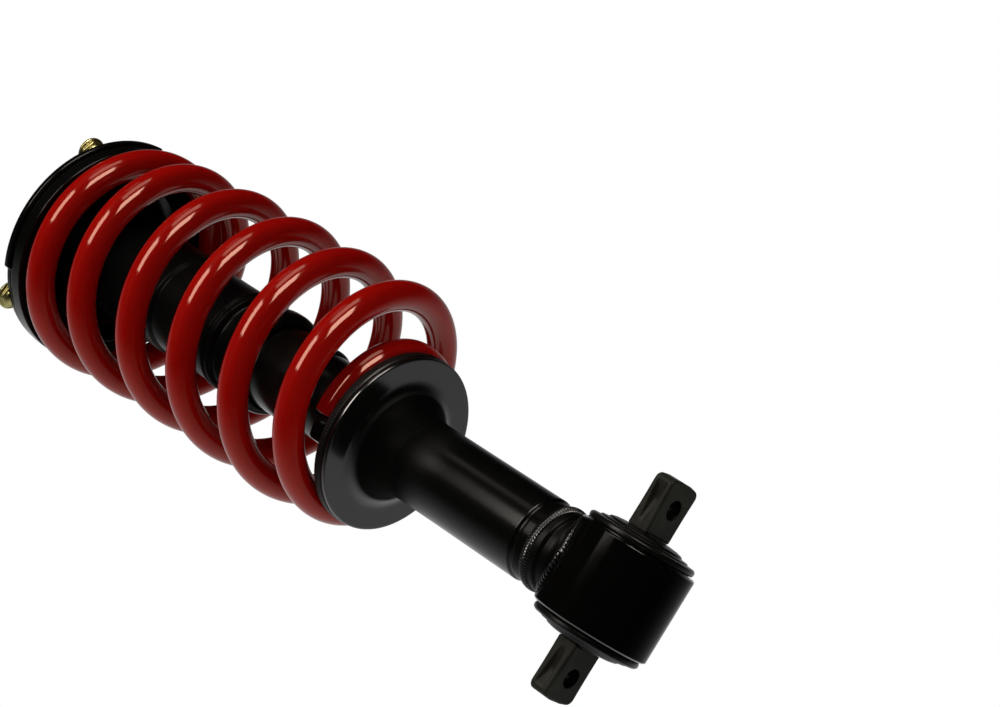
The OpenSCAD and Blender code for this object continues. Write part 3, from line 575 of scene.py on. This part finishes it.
bright = finish_of("bright_steel", (0.56, 0.57, 0.58), 0.24, metal=1.0, mottle=0.06, grain=900,
                   bump=0.05, relief=0.0001)
zinc = finish_of("clear_zinc_plate", (0.50, 0.51, 0.52), 0.33, metal=1.0, mottle=0.12, grain=500,
                 bump=0.08, relief=0.00012)
sintered = finish_of("sintered_iron", (0.23, 0.23, 0.225), 0.55, metal=0.85, mottle=0.2,
                     grain=1500, bump=0.35, relief=0.0002, fine=0.3)
urethane = finish_of("cellular_urethane", (0.16, 0.13, 0.085), 0.72, mottle=0.12, grain=900,
                     bump=0.55, relief=0.0004, specular=0.35, fine=0.5)
band_brown = finish_of("filled_band", (0.10, 0.055, 0.03), 0.5, mottle=0.15, grain=800, bump=0.1)
for node, made in {"tube_cap": satin_black, "oil_seal": rubber, "rod_guide": sintered,
                   "pressure_tube": bright, "base_valve": bright, "piston": sintered,
                   "piston_band": band_brown, "piston_nut": zinc, "rebound_stop": rubber,
                   "mount_sleeve": zinc, "lower_washer": dull_black,
                   "bump_stop": urethane}.items():
    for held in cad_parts[node].material_slots:
        held.material = made

# ---------------------------------------------------------------- piston rod
# Ground steel bar, induction-hardened and chromed, with a reduced end that the top mount slips
# over. Above the mount the end carries a rolled M14 thread.

ROD_TOP, LOWER_WASHER_Z = 519.808, 458.308
THREAD_FROM = 501
chrome = finish_of("hard_chrome", (0.60, 0.61, 0.62), 0.09, metal=1.0, mottle=0.02, grain=300,
                   bump=0.01, relief=0.00005)
rod = round_corners([(0.02, 235), (5, 235, 0.5), (6, 236, 0.3), (6, 260), (9, 260, 0.3),
                     (9, 457.7, 0.3), (8.4, LOWER_WASHER_Z), (7, LOWER_WASHER_Z),
                     (7, THREAD_FROM), (6.2, THREAD_FROM + 1), (6.2, 510), (0.02, 510)],
                    closed=False)
join_grids("chromed_rod", [(lathe(rod, "Z", 96), False)], "mount", chrome,
           ["piston_rod"])


def thread(centre_xy, z0, z1, major, pitch, sides):
    """Rolled thread as a function of height z and of a, the share of a turn: the radius is
    major - depth * w(z / pitch - a), where w is a triangle wave with its crests and roots cut flat
    and the depth is 0.61 of the pitch. Near the top the radius draws in by 45 degrees."""
    rows_per_turn, end_chamfer = 10, 1.2
    z = np.linspace(z0, z1, int((z1 - z0) / pitch * rows_per_turn) + 1)[:, None]
    a = around(sides)[None, :]
    triangle = np.abs((z / pitch - a / (2 * np.pi)) % 1 * 2 - 1)
    r = major - 0.61 * pitch * np.clip(triangle * 1.3 - 0.15, 0, 1)
    r = np.minimum(r, major - end_chamfer + np.maximum(z1 - z, 0))
    return np.stack([centre_xy[0] + r * np.cos(a), centre_xy[1] + r * np.sin(a), z + 0 * a], -1)


rod_end = thread((0, 0), THREAD_FROM, ROD_TOP, 7.0, 1.5, 48)
join_grids("rod_thread", [(rod_end, False)], "mount", zinc)

# ---------------------------------------------------------------- dust shield
# Blow-moulded shield with a lobe and an inner lip at its mouth, a waist, two ribs and a wider upper
# section. It hangs from the mount's lower washer and shows between the coils.

SHIELD_Z, MOUTH_R, NECK_R, WAIST_R, RIB_R, WIDE_R = 283.7, 27.45, 29.05, 31.6, 32.75, 33.2
LOBE_Z, STEP_Z, SHIELD_TOP = SHIELD_Z + 20, SHIELD_Z + 94, LOWER_WASHER_Z
shield_black = finish_of("moulded_shield", (0.0018, 0.0020, 0.0019), 0.28, mottle=0.2, grain=260,
                         bump=0.08, relief=0.0004, specular=0.07, fine=0.15)
shield_out = [(MOUTH_R, SHIELD_Z + 0.8, 0.5)]
shield_out += quarter(WIDE_R, MOUTH_R + 0.6, SHIELD_Z + 8.5, SHIELD_Z, 12)[::-1]
shield_out += quarter(WIDE_R, NECK_R, SHIELD_Z + 11.5, LOBE_Z, 12)
shield_out += [(NECK_R, SHIELD_Z + 31.3, 1.6), (31.0, SHIELD_Z + 32.4, 0.8)]
for rib in (34, 39.4):
    shield_out += [(WAIST_R, SHIELD_Z + rib - 1.3, 0.5), (RIB_R, SHIELD_Z + rib - 0.5, 0.5),
                   (RIB_R, SHIELD_Z + rib + 0.5, 0.5), (WAIST_R, SHIELD_Z + rib + 1.3, 0.5)]
shield_out += [(WAIST_R, STEP_Z - 2.2, 1), (WIDE_R, STEP_Z, 1), (WIDE_R, SHIELD_TOP, 2.2)]
shield_in = [(9.3, SHIELD_TOP, 0.3), (9.3, SHIELD_TOP - 1.6, 0.3),
             (WAIST_R, SHIELD_TOP - 1.6, 1), (WAIST_R, STEP_Z + 0.6, 0.8), (30, STEP_Z - 1.4, 0.8),
             (30, SHIELD_Z + 37, 1), (MOUTH_R, SHIELD_Z + 34.5, 1), (MOUTH_R, LOBE_Z - 1.6, 0.6),
             (31.2, LOBE_Z - 4.5, 3), (31.2, SHIELD_Z + 4.5, 3), (MOUTH_R, SHIELD_Z + 1.6, 0.3)]
shield = lathe(round_corners(shield_out + shield_in), "Z", 144)
join_grids("dust_shield_moulding", [(shield, True)], "mount", shield_black,
           ["dust_shield"])

# ---------------------------------------------------------------- upper insulator
# Rubber ring between the top coil and the upper seat. A lip on it centres the coil, and its
# underside has fine radial grooves.

UPPER_PAD_Z, UPPER_SEAT_Z = 459.708, 467.808
INSULATOR_SIDES, GROOVES, GROOVE_DEPTH = 720, 72, 0.7
dull_rubber = finish_of("dull_rubber", (0.0028, 0.0030, 0.0028), 0.60, mottle=0.3, grain=500,
                        bump=0.12, relief=0.0002, specular=0.02)
insulator = round_corners([(51.65, 451.708, 0.8), (55.15, 451.708, 1.2), (56.65, 453.708, 0.8),
                           (56.65, UPPER_PAD_Z, 0.4), (60, UPPER_PAD_Z), (65, UPPER_PAD_Z),
                           (68, UPPER_PAD_Z), (71, UPPER_PAD_Z, 2), (71, UPPER_SEAT_Z),
                           (51.65, UPPER_SEAT_Z)])
insulator_grid = lathe(insulator, "Z", INSULATOR_SIDES)

# The grooves are cut into the underside's inner points, next to the lip.
under = ((np.abs(insulator[:, 1] - UPPER_PAD_Z) < 0.3) & (insulator[:, 0] > 56.9)
         & (insulator[:, 0] < 60.5))
wave = np.cos(np.arange(INSULATOR_SIDES) * GROOVES * 2 * np.pi / INSULATOR_SIDES)
insulator_grid[under, :, 2] += GROOVE_DEPTH * np.clip(wave * 2 - 0.6, 0, 1)[None, :]
join_grids("upper_insulator_ring", [(insulator_grid, True)], "mount", dull_rubber,
           ["upper_insulator"])

# ---------------------------------------------------------------- upper spring seat
# Pressed steel ring with a turned-down rim that holds the insulator. It lies under the stud plate
# and is painted satin black with it.

PLATE_Z = 470.308
RIM_Z = PLATE_Z - 10.4
seat_ring = round_corners([(40, UPPER_SEAT_Z), (71.4, UPPER_SEAT_Z, 0.8), (71.4, RIM_Z, 0.5),
                           (73.9, RIM_Z, 0.6), (73.9, PLATE_Z, 2.2), (40, PLATE_Z, 0.5)])
join_grids("upper_seat_pressing", [(lathe(seat_ring, "Z", 216), True)], "mount", satin_black,
           ["upper_spring_seat"])

# ---------------------------------------------------------------- stud plate
# Thick pressed plate with a raised centre for the rubber mount and a low land that meets the body.
# Two shallow cut-backs in its rim show which way round it goes.

PLATE_TOP, HAT_TOP, PLATE_R, PLATE_SIDES = 474.308, 490.808, 76.0, 720
CUT_BACK, CUT_MIDDLES, CUT_HALF, CUT_EASE = 2.6, (-63, 117), 32, 2
plate = round_corners([(32, PLATE_Z, 0.8), (PLATE_R, PLATE_Z, 0.9), (PLATE_R, PLATE_TOP, 0.9),
                       (61.3, PLATE_TOP, 1), (60.5, PLATE_TOP + 0.8, 0.6),
                       (36, PLATE_TOP + 0.8, 3), (36, HAT_TOP, 3.2), (16, HAT_TOP, 0.6),
                       (16, HAT_TOP - 4, 0.6), (32, HAT_TOP - 4, 1.5)])
plate_grid = lathe(plate, "Z", PLATE_SIDES)

# A cut-back draws the rim in over an angle, eased in over two degrees at its ends and faded out
# over the last 5 mm of radius.
degrees = np.arange(PLATE_SIDES) * 360 / PLATE_SIDES
cut = np.zeros(PLATE_SIDES)
for middle in CUT_MIDDLES:
    off = np.abs((degrees - middle + 180) % 360 - 180)
    cut += CUT_BACK * ease((CUT_HALF - off) / CUT_EASE)
radius = plate[:, 0][:, None]
near_rim = np.clip((radius - (PLATE_R - 5)) / 5, 0, 1)
plate_grid[..., :2] *= ((radius - cut[None, :] * near_rim) / radius)[..., None]
join_grids("stud_plate", [(plate_grid, True)], "mount", satin_black,
           ["mount_plate"])

# ---------------------------------------------------------------- studs and nuts
# Three M10 studs pressed into the plate, each with a zinc-yellow nut run down to its foot. The nut
# is a low hexagon with a round collar at its outer end.

STUD_RING, STUD_ANGLES, NUT_TURNS = 69.5, (46.2, 177.2, -51.8), (0.35, 0.8, 0.1)
yellow_zinc = finish_of("yellow_zinc", (0.42, 0.38, 0.16), 0.30, metal=1.0, mottle=0.28,
                        grain=420, bump=0.10, relief=0.0002)


def nut_grid(centre_xy, rows, across, low, high, turn):
    """Nut in rows of [radius, height, 1 where it is hexagonal]. The hexagon's radius at angle a is
    (across / 2) / cos(a folded to +-30 degrees), held under a 30-degree cone at the heights low and
    high: 0.48 of the width there, and at most 0.568 of it, which blunts the corners."""
    rows = np.array(rows)
    a = around(144)
    folded = (a + np.pi / 6) % (np.pi / 3) - np.pi / 6
    hexagon = across / 2 / np.cos(folded)
    inside = np.minimum(rows[:, 1] - low, high - rows[:, 1])
    cone = across * np.minimum(0.48 + inside * 1.75 / across, 0.568)
    flats = np.minimum(hexagon[None, :], cone[:, None])
    r = np.where(rows[:, 2][:, None] > 0, flats, rows[:, 0][:, None])
    b = a[None, :] + turn
    z = rows[:, 1][:, None] + 0 * a
    return np.stack([centre_xy[0] + r * np.cos(b), centre_xy[1] + r * np.sin(b), z], -1)


def collar_nut(centre_xy, z0, turn):
    """Hexagon nut, 15 mm across flats, with a round collar at its outer end. The rows' heights are
    taken from z0."""
    rows = [(5, 0, 0), (6.8, 0, 0), (7, 0.2, 0), (7, 0.3, 1), (7, 0.7, 1), (7, 1.1, 1),
            (7, 1.9, 1), (7, 2.1, 1), (8.2, 2.2, 0), (8.9, 2.25, 0), (9.1, 2.3, 0),
            (9.45, 2.65, 0), (9.5, 2.75, 0), (9.5, 3.7, 0), (9.45, 3.8, 0), (9.1, 4.15, 0),
            (8.9, 4.2, 0), (5.9, 4.2, 0), (5.1, 3.6, 0), (5, 3.4, 0)]
    rows = [(r, z0 + z, is_hexagon) for r, z, is_hexagon in rows]
    return nut_grid(centre_xy, rows, 15.0, z0 - 0.2, z0 + 9, turn)


def stud_collar(centre_xy):
    """Lathe of the stud's collar, moved to the stud's place."""
    foot = PLATE_TOP + 0.02
    outline = round_corners([(0.02, foot), (6.5, foot), (6.5, PLATE_TOP + 2, 0.6),
                             (4.9, foot + 2), (0.02, foot + 2)], closed=False)
    return lathe(outline, "Z", 48) + [centre_xy[0], centre_xy[1], 0]


stud_places = [STUD_RING * np.array([math.cos(math.radians(a)), math.sin(math.radians(a))])
               for a in STUD_ANGLES]
stud_grids = []
for at in stud_places:
    stud_grids += [(stud_collar(at), False),
                   (thread(at, PLATE_TOP + 1.5, PLATE_TOP + 12.8, 5.0, 1.25, 40), False)]
join_grids("plate_studs", stud_grids, "mount", yellow_zinc, ["mount_studs"])
for letter, at, turn in zip("abc", stud_places, NUT_TURNS):
    join_grids(f"stud_nut_{letter}", [(collar_nut(at, PLATE_TOP + 2.05, turn), True)], "mount",
               yellow_zinc)

# ---------------------------------------------------------------- top mount rubbers
# Two rubber cushions clamp the plate's raised centre on the rod: one fills it from below, one sits
# on top under a dished washer and the rod's nut.

lower_rubber = round_corners([(12.05, 461.4, 0.5), (28, 461.4, 1.5), (39.4, 465.8, 2.5),
                              (39.4, PLATE_Z - 0.02, 0.6), (31.9, PLATE_Z - 0.02),
                              (31.9, HAT_TOP - 4.05), (12.05, HAT_TOP - 4.05)])
upper_rubber = round_corners([(12.05, HAT_TOP - 3.9), (15.9, HAT_TOP - 3.9),
                              (15.9, HAT_TOP + 0.02), (22.4, HAT_TOP + 0.02, 0.8),
                              (24.6, HAT_TOP + 3, 3.2), (20.8, HAT_TOP + 6.95, 1.4),
                              (12.05, HAT_TOP + 6.95)])
join_grids("lower_mount_rubber", [(lathe(lower_rubber, "Z", 128), True)], "mount", dull_rubber,
           ["mount_bushing_lower"])
join_grids("upper_mount_rubber", [(lathe(upper_rubber, "Z", 128), True)], "mount", rubber,
           ["mount_bushing_upper"])

# ---------------------------------------------------------------- top washer and rod nut
# Dished zinc-plated washer and a zinc-yellow M14 nut on the rod's thread. Together they clamp the
# whole mount to the rod.

WASHER_Z = HAT_TOP + 7
NUT_LOW, NUT_HIGH = WASHER_Z + 3.03, WASHER_Z + 14.03
washer = round_corners([(7.05, WASHER_Z, 0.3), (21, WASHER_Z, 1), (23, WASHER_Z + 2, 0.5),
                        (22.7, WASHER_Z + 3, 0.5), (7.05, WASHER_Z + 3, 0.3)])
join_grids("dished_washer", [(lathe(washer, "Z", 128), True)], "mount", zinc,
           ["upper_washer"])
nut_rows = [(7, NUT_LOW, 0), (10.4, NUT_LOW, 0), (10.6, NUT_LOW + 0.15, 0),
            (10.6, NUT_LOW + 0.5, 0)]
nut_rows += [(10.6, NUT_LOW + h, 1) for h in (0.7, 0.9, 1.3, 1.8, 2.6, 8.8, 9.6, 10.1, 10.55,
                                              10.9)]
nut_rows += [(9.7, NUT_HIGH, 0), (7.9, NUT_HIGH, 0), (7.1, NUT_HIGH - 0.9, 0),
             (7, NUT_HIGH - 1.5, 0)]
rod_nut = nut_grid((0, 0), nut_rows, 22.0, NUT_LOW + 0.6, NUT_HIGH, 0.2)
join_grids("clamping_nut", [(rod_nut, True)], "mount", yellow_zinc, ["rod_nut"])

# ---------------------------------------------------------------- floor, world, lamps and camera
# A pale floor under the part that fades out to a white surround, four strips of light that the
# paint mirrors, four soft boxes that light the surfaces, and the camera.

FLOOR_R, FLOOR_Z, FLOOR_SIDES = 1.6, -0.036, 96
FADE_FROM, FADE_TO = 0.35, 0.95 * FLOOR_R
FLOOR_GLOW = 0.42
ring = around(FLOOR_SIDES)
edge = np.column_stack([FLOOR_R * np.cos(ring), FLOOR_R * np.sin(ring),
                        np.full(FLOOR_SIDES, FLOOR_Z)])
floor_mesh = bpy.data.meshes.new("floor")
floor_mesh.from_pydata(np.vstack([[0, 0, FLOOR_Z], edge]), [],
                       [(0, k + 1, (k + 1) % FLOOR_SIDES + 1) for k in range(FLOOR_SIDES)])
floor = bpy.data.objects.new("floor", floor_mesh)
bpy.context.scene.collection.objects.link(floor)

# The floor is matt and pale, and glows a little for the camera so that it comes out nearly white.
# It is clear where it has faded out, from below, to shadow rays and to mirrored rays: the largest
# of these four shares is how clear it is.
pale = bpy.data.materials.new("pale_floor")
pale.use_nodes = True
tree = pale.node_tree
tree.nodes.clear()
out = add_node(tree, "OutputMaterial")
matt = add_node(tree, "BsdfDiffuse", {"Color": (0.86, 0.86, 0.86, 1)})
light_path = add_node(tree, "LightPath")
glow_share = add_node(tree, "Math", {1: FLOOR_GLOW}, operation="MULTIPLY")
glow = add_node(tree, "Emission", {"Color": (1, 1, 1, 1)})
lit = add_node(tree, "AddShader")
clear = add_node(tree, "BsdfTransparent")
facing = add_node(tree, "NewGeometry")
place = add_node(tree, "TexCoord")
from_middle = add_node(tree, "VectorMath", operation="LENGTH")
fade = add_node(tree, "MapRange", {"From Min": FADE_FROM, "From Max": FADE_TO},
                interpolation_type="SMOOTHSTEP")
blend = add_node(tree, "MixShader")
clearness = (fade, "Result")
for share in ((facing, "Backfacing"), (light_path, "Is Shadow Ray"), (light_path, "Is Glossy Ray")):
    larger = add_node(tree, "Math", operation="MAXIMUM")
    connect(tree, (*clearness, larger, 0), (*share, larger, 1))
    clearness = (larger, 0)
connect(tree, (light_path, "Is Camera Ray", glow_share, 0), (glow_share, 0, glow, "Strength"),
        (matt, 0, lit, 0), (glow, 0, lit, 1), (place, "Object", from_middle, 0),
        (from_middle, "Value", fade, "Value"), (*clearness, blend, "Fac"), (lit, 0, blend, 1),
        (clear, 0, blend, 2), (blend, 0, out, "Surface"))
floor_mesh.materials.append(pale)

# The surround is white to the camera. Paint and metal mirror it as a glow that grows smoothly
# towards one side, and to all other light it is a faint even grey.
GLOW_SIDE, GLOW_MOST, GREY = (-0.70, -0.70, 0.12), 0.82, 0.03
world = bpy.data.worlds.new("surround")
bpy.context.scene.world = world
world.use_nodes = True
world.cycles.sampling_method = "NONE"
tree = world.node_tree
tree.nodes.clear()
out = add_node(tree, "OutputWorld")
light_path = add_node(tree, "LightPath")
direction = add_node(tree, "TexCoord")
toward = add_node(tree, "VectorMath", {1: GLOW_SIDE}, operation="DOT_PRODUCT")
mirrored_glow = add_node(tree, "MapRange", {"From Min": -0.05, "From Max": 1.0, "To Min": 0.0,
                                            "To Max": GLOW_MOST}, interpolation_type="SMOOTHSTEP")
unseen = add_node(tree, "Mix", {2: GREY}, data_type="FLOAT")
seen = add_node(tree, "Mix", {3: 1.0}, data_type="FLOAT")
sky = add_node(tree, "Background", {"Color": (1, 1, 1, 1)})
connect(tree, (direction, "Generated", toward, 0), (toward, "Value", mirrored_glow, "Value"),
        (light_path, "Is Glossy Ray", unseen, 0), (mirrored_glow, "Result", unseen, 3),
        (light_path, "Is Camera Ray", seen, 0), (unseen, 0, seen, 2),
        (seen, 0, sky, "Strength"), (sky, 0, out, "Surface"))

# Strips stand round the damper and are only mirrored: they draw the narrow streaks on the paint.
# Boxes light the surfaces evenly and leave no mirror image. Each lamp faces the damper's middle
# from an azimuth in degrees and a height given as the sine of its elevation. Then come its width
# and height in metres, its radiance, and whether it is mirrored.
LAMP_REACH, LAMP_AIM, WARM_WHITE = 1.3, (0, 0, 0.25), (1.0, 0.93, 0.86)
for name, azimuth, height, wide, tall, radiance, mirrored in (
        ("strip_a", 13.3, 0.26, 0.65, 0.54, 12.0, True),
        ("strip_b", 56.0, -0.42, 0.60, 0.50, 15.0, True),
        ("strip_c", 58.0, 0.15, 0.66, 0.46, 3.4, True),
        ("strip_d", 57.0, 0.52, 0.28, 0.42, 0.5, True),
        ("key", 40.0, 0.55, 0.90, 0.90, 6.3, False),
        ("side", 330.0, 0.45, 0.90, 0.90, 2.4, False),
        ("low", 264.0, -0.12, 0.90, 0.90, 1.5, False),
        ("back", 155.0, 0.55, 0.90, 0.90, 1.0, False)):
    lamp = bpy.data.lights.new(name, "AREA")
    lamp.shape = "RECTANGLE"
    lamp.size, lamp.size_y = wide, tall
    lamp.energy = math.pi * wide * tall * radiance
    lamp.color = WARM_WHITE
    box = bpy.data.objects.new(name, lamp)
    bpy.context.scene.collection.objects.link(box)
    flat = math.sqrt(1 - height ** 2)
    angle = math.radians(azimuth)
    way = np.array([flat * math.cos(angle), flat * math.sin(angle), height])
    x = np.cross([0, 0, 1], way)
    x /= np.linalg.norm(x)
    turned = np.column_stack([x, np.cross(way, x), way, np.array(LAMP_AIM) + way * LAMP_REACH])
    box.matrix_world = Matrix([*turned, [0, 0, 0, 1]])
    box.visible_camera = False
    box.visible_glossy = mirrored
    box.visible_diffuse = not mirrored

# The camera stands beyond the lower end and looks up along the damper. Its matrix holds its right,
# up and back directions and its place, in columns.
camera = bpy.data.cameras.new("view")
camera.lens = 81.496
camera.clip_start = 0.05
looker = bpy.data.objects.new("view", camera)
bpy.context.scene.collection.objects.link(looker)
looker.matrix_world = Matrix([[-0.52689, 0.33161, 0.78246, 1.0],
                              [0.52182, 0.85299, -0.01012, 0.062],
                              [-0.67079, 0.40297, -0.62247, -0.6482],
                              [0, 0, 0, 1]])
bpy.context.scene.camera = looker
bpy.context.scene.view_settings.view_transform = "Standard"
